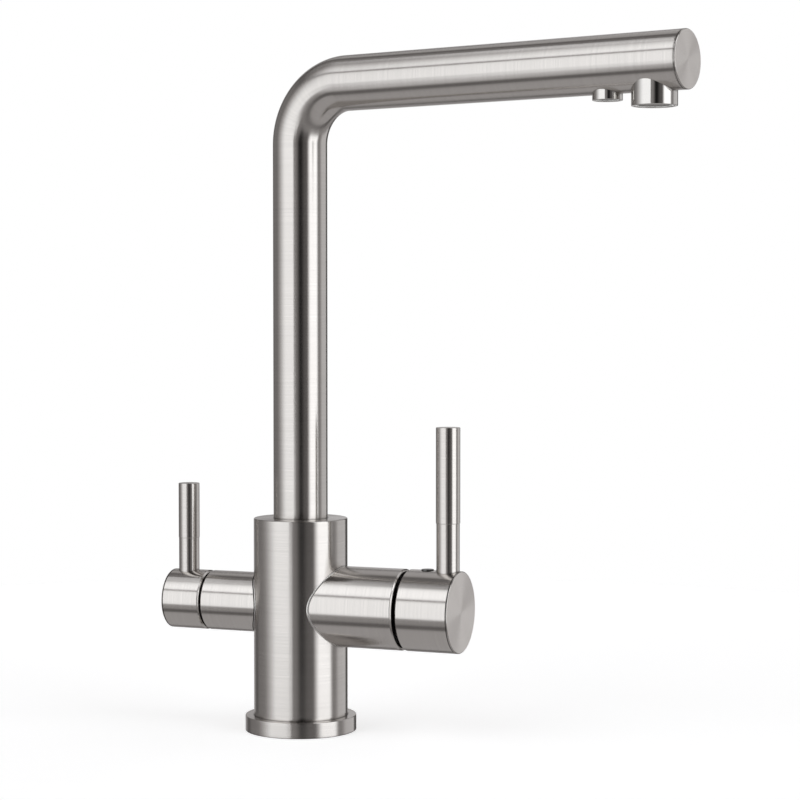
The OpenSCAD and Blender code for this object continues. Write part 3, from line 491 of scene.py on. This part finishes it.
def makeLever(prefix, bodyName, rodNode, gripNode):
    rodMid, rodSize = span(rodNode)
    gripMid, gripSize = span(gripNode)
    finish = metalMaterial(prefix + "LeverSteel", steelLook, centre=(gripMid.x, gripMid.y, 0))
    step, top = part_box(gripNode)
    rod = upright(prefix + "Rod", rodMid, rodSize.x / 2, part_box(rodNode)[0].z, step.z + leverLook["overlap"],
                  sides=leverLook["sides"])
    bevelEdges(rod, leverLook["rodEdge"])
    smooth(rod)
    place(rod, bodyName, rodNode, finish)
    radius = gripSize.x / 2
    boreRadius = rodSize.x / 2 - leverLook["boreStep"]
    boreEnd = step.z + leverLook["overlap"] + 0.1 * mm
    grip = lathe(prefix + "Grip", [(boreRadius, boreEnd), (boreRadius, step.z), (radius, step.z), (radius, top.z)],
                 at=(gripMid.x, gripMid.y, 0), sides=leverLook["sides"])
    bevelEdges(grip, leverLook["gripEdge"])
    smooth(grip)
    place(grip, bodyName, gripNode, finish)
    return rodMid, rodSize.x / 2


mixerHandle = makeHandle("mixerHandle", "mixer_handle_cap", alongX, mixerSide)
leverMid, leverRadius = makeLever("mixer", "mixer_handle", "mixer_lever_rod", "mixer_lever_grip")
drill(mixerHandle, "leverHole", leverMid, leverRadius, mixerSide)
plugMid, plugSize = span("mixer_screw_plug")
plugLow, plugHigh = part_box("mixer_screw_plug")
drill(mixerHandle, "plugHole", plugMid, plugSize.x / 2, mixerSide)
finishHandle(mixerHandle, "mixer_handle_cap", "mixer_handle", (1, 0, 0), mixerSide)

filterHandle = makeHandle("filterHandle", "filter_handle_cap", alongMinusX, filterSide)
leverMid, leverRadius = makeLever("filter", "filter_handle", "filter_lever_rod", "filter_lever_grip")
drill(filterHandle, "smallLeverHole", leverMid, leverRadius, filterSide)
grubMid, grubSize = span("filter_grub_screw")
drill(filterHandle, "grubHole", grubMid, grubSize.x / 2, filterSide, side=-1)
finishHandle(filterHandle, "filter_handle_cap", "filter_handle", (-1, 0, 0), filterSide)

# the dark plug over the handle's screw
plugLook = dict(tint=(0.14, 0.138, 0.135, 1), streak=0.08, rough=0.32, roughSpread=0.08, aniso=0.2,
                lines=3000.0, arcs=3.0, bump=0.08, depth=0.00003)
plugEdge = 0.25 * mm
plug = upright("screwPlug", plugMid, plugSize.x / 2, plugLow.z, plugHigh.z, sides=64)
bevelEdges(plug, plugEdge)
smooth(plug)
place(plug, "mixer_handle", "mixer_screw_plug",
      metalMaterial("plugMetal", plugLook, centre=(plugMid.x, plugMid.y, 0)))
print("handles and levers ready")

# spout: a circle drawn up the column, spun through the bend and pushed out to the tip
spout = dict(radius=14 * mm, wall=1.5 * mm, bend=30 * mm, reach=219 * mm, turn=radians(-11), edge=0.12 * mm,
             sides=160, bendSteps=64, lengths=14)
capLook = dict(thick=1.4 * mm, plug=3 * mm, rounding=0.6 * mm, edge=0.1 * mm)
spoutWay = Vector((cos(spout["turn"]), sin(spout["turn"]), 0))
spoutSide = Vector((-sin(spout["turn"]), cos(spout["turn"]), 0))
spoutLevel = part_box("spout_tube")[1].z - spout["radius"]
columnTop = spoutLevel - spout["bend"]
alongSpout = (0, radians(90), spout["turn"])


def drawTube(name, foot, end):
    lengths = spout["lengths"]
    clearSelection()
    bpy.ops.mesh.primitive_circle_add(vertices=spout["sides"], radius=spout["radius"], location=(0, 0, foot))
    tube = bpy.context.object
    tube.name = name
    bpy.ops.object.transform_apply(location=True, rotation=False, scale=False)
    bpy.ops.object.mode_set(mode="EDIT")
    bpy.ops.mesh.select_all(action="SELECT")
    for step in range(lengths):
        bpy.ops.mesh.extrude_region_move(TRANSFORM_OT_translate={"value": (0, 0, (columnTop - foot) / lengths)})
    bpy.ops.mesh.spin(steps=spout["bendSteps"], angle=radians(-90), axis=spoutSide,
                      center=(spoutWay.x * spout["bend"], spoutWay.y * spout["bend"], columnTop))
    for step in range(lengths):
        bpy.ops.mesh.extrude_region_move(
            TRANSFORM_OT_translate={"value": spoutWay * (end - spout["bend"]) / lengths})
    bpy.ops.mesh.select_all(action="SELECT")
    bpy.ops.mesh.remove_doubles(threshold=1e-7)
    bpy.ops.mesh.normals_make_consistent(inside=False)
    bpy.ops.object.mode_set(mode="OBJECT")
    return tube


def markTube(obj):
    # tubeCoord lays the tube out straight, and ringWay points round it
    coords, ways = [], []
    for vertex in obj.data.vertices:
        p = vertex.co
        q, across, rise = p.dot(spoutWay), p.dot(spoutSide), p.z - columnTop
        if rise < 0 and q < spout["bend"]:
            run, out, inward = p.z, q, spoutWay
        elif q < spout["bend"]:
            angle = atan2(rise, spout["bend"] - q)
            run = columnTop + angle * spout["bend"]
            out = spout["bend"] - hypot(rise, spout["bend"] - q)
            inward = spoutWay * cos(angle) - Vector((0, 0, sin(angle)))
        else:
            run = columnTop + spout["bend"] * (pi / 2 - 1) + q
            out, inward = spoutLevel - p.z, Vector((0, 0, -1))
        coords.extend((out, across, run))
        ways.extend((spoutSide * out - inward * across).normalized())
    for name, values in (("tubeCoord", coords), ("ringWay", ways)):
        layer = obj.data.attributes.new(name, "FLOAT_VECTOR", "POINT")
        layer.data.foreach_set("vector", values)


tubeEnd = spout["reach"] - capLook["thick"]
tube = drawTube("spoutTube", plateFoot, tubeEnd)
applyModifier(tube, "SOLIDIFY", thickness=spout["wall"], offset=-1.0)
bevelEdges(tube, spout["edge"], segments=2)
outletHoles = dict(main_outlet_collar=9.7 * mm, filter_outlet_collar=6.45 * mm)
holeFrom, holeTo = spoutLevel - 20 * mm, spoutLevel - 2 * mm
outletAt = {}
for node, hole in outletHoles.items():
    mid, size = span(node)
    outletAt[node] = (mid, size.x / 2)
    cut(tube, upright("outletHole", mid, hole, holeFrom, holeTo))
smooth(tube)
markTube(tube)
place(tube, "spout", "spout_tube", metalMaterial("spoutSteel", steelLook, onTube=True))

tipCentre = spoutWay * spout["reach"] + Vector((0, 0, spoutLevel))
plugRadius = spout["radius"] - spout["wall"] - seam
cap = lathe("spoutEndDisc", [(plugRadius, tubeEnd - capLook["plug"]), (plugRadius, tubeEnd),
                             (spout["radius"], tubeEnd)]
            + grooveAndEnd(spout["radius"], spout["reach"], capLook["rounding"]),
            turn=alongSpout, at=(0, 0, spoutLevel))
bevelEdges(cap, capLook["edge"], segments=2)
smooth(cap)
tipPlace = dict(centre=tuple(tipCentre), turn=alongSpout, way=tuple(spoutWay))
place(cap, "spout", "spout_end_cap", metalMaterial("tipSteel", steelLook, **tipPlace))
# the tip's end face gets the lighter, painted-light copy of the steel
paintFaces(cap, metalMaterial("litTipFace", litTipLook, **tipPlace), tipCentre, tuple(spoutWay),
           lambda out, run: run > -endFace)
print("spout ready")


# the two polished outlets, saddle-cut against the tube
collarLook = dict(edge=0.3 * mm, belowAxis=1 * mm, touch=0.02 * mm, formLength=260 * mm)
screenForm = dict(pitch=0.8 * mm, wire=0.28 * mm, turn=radians(45), rimHalf=0.4 * mm, rimWidth=0.9 * mm,
                  rimEdge=0.1 * mm, inset=0.2 * mm)


def makeCollar(name, node, wall, finish):
    mid, radius = outletAt[node]
    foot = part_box(node)[0].z
    inside = radius - wall
    top = spoutLevel - collarLook["belowAxis"]
    collar = lathe(name, [(radius, foot), (radius, top), (inside, top), (inside, foot), (radius, foot)],
                   at=(mid.x, mid.y, 0), closed=True)
    bevelEdges(collar, collarLook["edge"])
    saddle = spout["radius"] + collarLook["touch"]
    cut(collar, lathe(name + "Saddle", [(saddle, 0), (saddle, collarLook["formLength"])],
                      turn=alongSpout, at=(0, 0, spoutLevel)))
    smooth(collar)
    place(collar, "spout", node, finish)


def makeScreen(name, node, finish):
    mid, size = span(node)
    radius = size.x / 2
    pitch = screenForm["pitch"]
    inside = radius - screenForm["rimWidth"]
    rimLow, rimHigh = mid.z - screenForm["rimHalf"], mid.z + screenForm["rimHalf"]
    clearSelection()
    cells = int(size.x / pitch) + 2
    bpy.ops.mesh.primitive_grid_add(x_subdivisions=cells, y_subdivisions=cells, size=cells * pitch,
                                    location=(mid.x, mid.y, mid.z))
    screen = bpy.context.object
    screen.name = name
    screen.rotation_euler = (0, 0, spout["turn"] + screenForm["turn"])
    bpy.ops.object.transform_apply(location=True, rotation=True, scale=True)
    applyModifier(screen, "WIREFRAME", thickness=screenForm["wire"], use_even_offset=True, use_replace=True)
    rim = lathe(name + "Rim", [(radius, rimLow), (radius, rimHigh), (inside, rimHigh), (inside, rimLow),
                               (radius, rimLow)], at=(mid.x, mid.y, 0), closed=True, sides=96)
    disc = upright(name + "Disc", mid, radius - screenForm["inset"], mid.z - 1 * mm, mid.z + 1 * mm)
    applyModifier(screen, "BOOLEAN", operation="INTERSECT", solver="EXACT", object=disc)
    pick(disc)
    bpy.ops.object.delete()
    bevelEdges(rim, screenForm["rimEdge"], segments=1)
    pick(rim)
    screen.select_set(True)
    bpy.ops.object.join()
    rim.name = name
    place(rim, "spout", node, finish)


screenLook = dict(tint=(0.50, 0.49, 0.475, 1), streak=0.05, rough=0.28, roughSpread=0.08, aniso=0.0,
                  lines=3000.0, arcs=3.0, bump=0.05, depth=0.00002)
for node, name, wall, screenNode, screenName in (
        ("main_outlet_collar", "mainCollar", 1.5 * mm, "main_aerator_screen", "mainScreen"),
        ("filter_outlet_collar", "filterCollar", 1.3 * mm, "filter_aerator_screen", "filterScreen")):
    mid = outletAt[node][0]
    makeCollar(name, node, wall, metalMaterial(name + "Polish", polishLook, centre=(mid.x, mid.y, 0)))
    makeScreen(screenName, screenNode, metalMaterial(screenName + "Wire", screenLook, centre=(mid.x, mid.y, 0)))
print("outlets ready")


# the pieces inside keep their CAD shapes and get worked materials
def plainMaterial(name, low, high, rough, metallic, scale, bumpShare, roughHalf=0.06, depth=0.00003):
    material, tree, shader = newMaterial(name)
    coords = addNode(tree, "ShaderNodeTexCoord", (-1000, 0)).outputs["Object"]
    cloud = noise(tree, coords, scale=scale * 0.12, detail=3.0, roughness=0.55)
    fine = noise(tree, coords, scale=scale, detail=4.0, roughness=0.6)
    ramp = addNode(tree, "ShaderNodeMix", data_type="RGBA")
    feed(tree, ramp.inputs[0], mapRange(tree, cloud, *noiseSpan))
    ramp.inputs[6].default_value = (*low, 1)
    ramp.inputs[7].default_value = (*high, 1)
    feed(tree, shader.inputs["Base Color"], ramp.outputs[2])
    feed(tree, shader.inputs["Roughness"], mapRange(tree, fine, *noiseSpan, rough - roughHalf, rough + roughHalf))
    shader.inputs["Metallic"].default_value = metallic
    bump = addNode(tree, "ShaderNodeBump")
    bump.inputs["Strength"].default_value = bumpShare
    bump.inputs["Distance"].default_value = depth
    feed(tree, bump.inputs["Height"], fine)
    feed(tree, shader.inputs["Normal"], bump.outputs[0])
    return material


innerFinishes = {
    "brass": plainMaterial("machinedBrass", (0.60, 0.44, 0.20), (0.70, 0.54, 0.28),
                           rough=0.34, metallic=1.0, scale=900.0, bumpShare=0.15),
    "ceramic": plainMaterial("lappedCeramic", (0.86, 0.84, 0.78), (0.92, 0.91, 0.87),
                             rough=0.16, metallic=0.0, scale=1500.0, bumpShare=0.05),
    "rubber": plainMaterial("sealRubber", (0.018, 0.018, 0.018), (0.035, 0.034, 0.033),
                            rough=0.62, metallic=0.0, scale=1200.0, bumpShare=0.3),
    "plastic": plainMaterial("mouldedPlastic", (0.78, 0.78, 0.77), (0.86, 0.86, 0.85),
                             rough=0.42, metallic=0.0, scale=700.0, bumpShare=0.15),
    "dark_steel": plainMaterial("darkSteel", (0.20, 0.198, 0.195), (0.27, 0.266, 0.26),
                                rough=0.36, metallic=1.0, scale=1100.0, bumpShare=0.12),
    "brushed_steel": plainMaterial("drawnSteel", (0.56, 0.54, 0.51), (0.66, 0.64, 0.61),
                                   rough=0.28, metallic=1.0, scale=1000.0, bumpShare=0.1),
}
# painted shade: the pieces seen through the gaps get a near-black brass standing in for the shade behind them
behindGapShade = plainMaterial("behindGapShadeBrass", (0.030, 0.028, 0.026), (0.05, 0.046, 0.04),
                          rough=0.5, metallic=1.0, scale=900.0, bumpShare=0.15)
behindGaps = ("mixer_valve_socket", "cartridge_nut", "filter_valve_socket", "filter_valve_housing",
              "mixer_cartridge_housing", "mixer_cartridge_turret")
for entry in frame["record"]["subparts"]:
    node = entry["node"]
    if node not in remade:
        for slot in frame["nodes"][node].material_slots:
            slot.material = behindGapShade if node in behindGaps else innerFinishes[entry["material_slot"]]
print("inner finishes ready")

# camera
clearSelection()
bpy.ops.object.camera_add(location=photoView["at"],
                          rotation=(radians(photoView["tilt"]), 0, radians(photoView["heading"])))
camera = bpy.context.object
camera.data.lens = photoView["lens"]
camera.data.sensor_width = 36
camera.data.clip_start = 0.01
bpy.context.scene.camera = camera

# table top: white to the camera with a soft contact shadow; the metal mirrors the world's lower half instead
tableLook = dict(radius=0.67, glow=0.62, albedo=0.75)
clearSelection()
bpy.ops.mesh.primitive_circle_add(vertices=128, radius=tableLook["radius"], fill_type="NGON", location=(0, 0, 0))
table = bpy.context.object
table.name = "tableTop"
tableMaterial, tree, shader = newMaterial("tableWhite")
output = tree.nodes["Material Output"]
tree.nodes.remove(shader)
diffuse = addNode(tree, "ShaderNodeBsdfDiffuse", (0, 200))
diffuse.inputs["Color"].default_value = (tableLook["albedo"],) * 3 + (1,)
glow = addNode(tree, "ShaderNodeEmission", (0, 0))
glow.inputs["Strength"].default_value = tableLook["glow"]
seen = addNode(tree, "ShaderNodeAddShader", (200, 100))
feed(tree, seen.inputs[0], diffuse.outputs[0])
feed(tree, seen.inputs[1], glow.outputs[0])
feed(tree, output.inputs["Surface"], seen.outputs[0])
table.data.materials.append(tableMaterial)
table.visible_glossy = False

# the studio: soft boxes on a world of directions. Azimuth runs from the camera's side, positive
# to the photograph's right, and a box gives its edges in degrees with how soft each one is
studio = [
    dict(left=-90, right=-28.6, softLeft=27, softRight=0.8, level=1.27),
    dict(left=-150, right=-98, softLeft=8, softRight=14, level=0.2),
    dict(left=-28.6, right=-11, softLeft=0.8, softRight=9, level=0.24),
    dict(left=-180, right=180, softLeft=1, softRight=1, level=0.012),
    dict(left=12, right=33, softLeft=10, softRight=4, level=0.1),
    dict(left=36, right=77, softLeft=8, softRight=6, level=1.6),
    dict(left=76, right=141, softLeft=7, softRight=3, level=0.25),
    dict(left=98, right=141, softLeft=9, softRight=3, level=0.36),
    dict(left=-180, right=-158, softLeft=1, softRight=9, level=0.36),
    dict(left=141, right=180, softLeft=3, softRight=1, level=0.07),
    dict(left=164, right=180, softLeft=4, softRight=1, level=0.42),
]
# each step goes over from its first level to its second between two elevations
overhead = [(28, 31, 1.0, 0.22), (33, 36, 0.0, 0.93), (61.5, 65, 0.0, -1.15)]
ceiling = 0.13
# one more box, high up on the left
skyBox = dict(left=-126, right=-84, low=57.5, high=65, soft=3, level=1.2)
lower = [(-46, -41, 0.41, 0.13), (-35, -30, 0.0, 0.17)]
# the lit part ends lower towards the far left
lowerEdge = dict(near=-16, far=-30, soft=3)
lowerBand = (-72, -58)
# a few degrees below level the boxes reach further round: by a share on the left, and by these steps
undersideAt = (-4.8, -6.2)
leftSpread = 0.12
spreadSteps = [(-5, 13, -5, 2), (18, 38, 0, -5), (-150, -125, 14, 0)]
world = bpy.data.worlds.new("studio")
bpy.context.scene.world = world
world.use_nodes = True
tree = world.node_tree
background = tree.nodes["Background"]
direction = addNode(tree, "ShaderNodeTexCoord", (-1600, 0)).outputs["Generated"]
facing = addNode(tree, "ShaderNodeVectorRotate", (-1400, 0), rotation_type="Z_AXIS")
feed(tree, facing.inputs["Vector"], direction)
facing.inputs["Angle"].default_value = atan2(-photoView["at"][1], photoView["at"][0])
parts = addNode(tree, "ShaderNodeSeparateXYZ", (-1200, 0))
feed(tree, parts.inputs[0], facing.outputs[0])
azimuth = math(tree, "MULTIPLY", math(tree, "ARCTAN2", parts.outputs[1], parts.outputs[0]), 180 / pi)
elevation = math(tree, "MULTIPLY", math(tree, "ARCSINE", parts.outputs[2]), 180 / pi)


def stack(tree, value, steps):
    total = 0.0
    for low, high, before, after in steps:
        total = math(tree, "ADD", mapRange(tree, value, low, high, before, after, "SMOOTHSTEP"), total)
    return total


underside = mapRange(tree, elevation, *undersideAt, 0, 1, "SMOOTHSTEP")
spread = math(tree, "MULTIPLY", math(tree, "MINIMUM", azimuth, 0.0), leftSpread)
for low, high, before, after in spreadSteps:
    spread = math(tree, "ADD", spread, mapRange(tree, azimuth, low, high, before, after))
boxAzimuth = math(tree, "ADD", azimuth, math(tree, "MULTIPLY", spread, underside))
walls = 0.0
for box in studio:
    rise = mapRange(tree, boxAzimuth, box["left"] - box["softLeft"], box["left"] + box["softLeft"],
                    0, 1, "SMOOTHSTEP") if box["left"] > -180 else 1.0
    fall = mapRange(tree, boxAzimuth, box["right"] - box["softRight"], box["right"] + box["softRight"],
                    1, 0, "SMOOTHSTEP") if box["right"] < 180 else 1.0
    walls = math(tree, "ADD", math(tree, "MULTIPLY", math(tree, "MULTIPLY", rise, fall), box["level"]), walls)
height = math(tree, "MAXIMUM", stack(tree, elevation, overhead), 0.0)
upper = math(tree, "ADD", math(tree, "MULTIPLY", walls, height),
             mapRange(tree, elevation, overhead[-1][0], overhead[-1][1], 0.0, ceiling, "SMOOTHSTEP"))
sky = skyBox["level"]
for value, low, high in ((azimuth, skyBox["left"], skyBox["right"]), (elevation, skyBox["low"], skyBox["high"])):
    rise = mapRange(tree, value, low - skyBox["soft"], low + skyBox["soft"], 0, 1, "SMOOTHSTEP")
    fall = mapRange(tree, value, high - skyBox["soft"] / 2, high + skyBox["soft"] / 2, 1, 0, "SMOOTHSTEP")
    sky = math(tree, "MULTIPLY", math(tree, "MULTIPLY", rise, fall), sky)
upper = math(tree, "MAXIMUM", upper, sky)
edge = mapRange(tree, azimuth, *lowerBand, lowerEdge["far"], lowerEdge["near"], "SMOOTHSTEP")
blend = mapRange(tree, math(tree, "SUBTRACT", elevation, edge), -lowerEdge["soft"], lowerEdge["soft"],
                 0.0, 1.0, "SMOOTHSTEP")
strength = math(tree, "ADD", math(tree, "MULTIPLY", upper, blend),
                math(tree, "MULTIPLY", stack(tree, elevation, lower), math(tree, "SUBTRACT", 1.0, blend)))
rays = addNode(tree, "ShaderNodeLightPath", (-200, 400))
shown = addNode(tree, "ShaderNodeMix", data_type="FLOAT")
feed(tree, shown.inputs[0], rays.outputs["Is Camera Ray"])
feed(tree, shown.inputs[2], strength)
shown.inputs[3].default_value = 1.0
feed(tree, background.inputs["Strength"], shown.outputs[0])
# the dim parts of the room are a little warmer than the boxes
roomTint = dict(dim=(1.055, 1.0, 0.99, 1), bright=(0.988, 1.0, 1.018, 1), share=1.1)
warmth = addNode(tree, "ShaderNodeMix", data_type="RGBA")
feed(tree, warmth.inputs[0], math(tree, "MULTIPLY", shown.outputs[0], roomTint["share"], clamp=True))
warmth.inputs[6].default_value = roomTint["dim"]
warmth.inputs[7].default_value = roomTint["bright"]
white = addNode(tree, "ShaderNodeMix", data_type="RGBA")
feed(tree, white.inputs[0], rays.outputs["Is Camera Ray"])
feed(tree, white.inputs[6], warmth.outputs[2])
white.inputs[7].default_value = (1, 1, 1, 1)
feed(tree, background.inputs["Color"], white.outputs[2])
bpy.context.scene.view_settings.view_transform = "Standard"
print("studio ready")
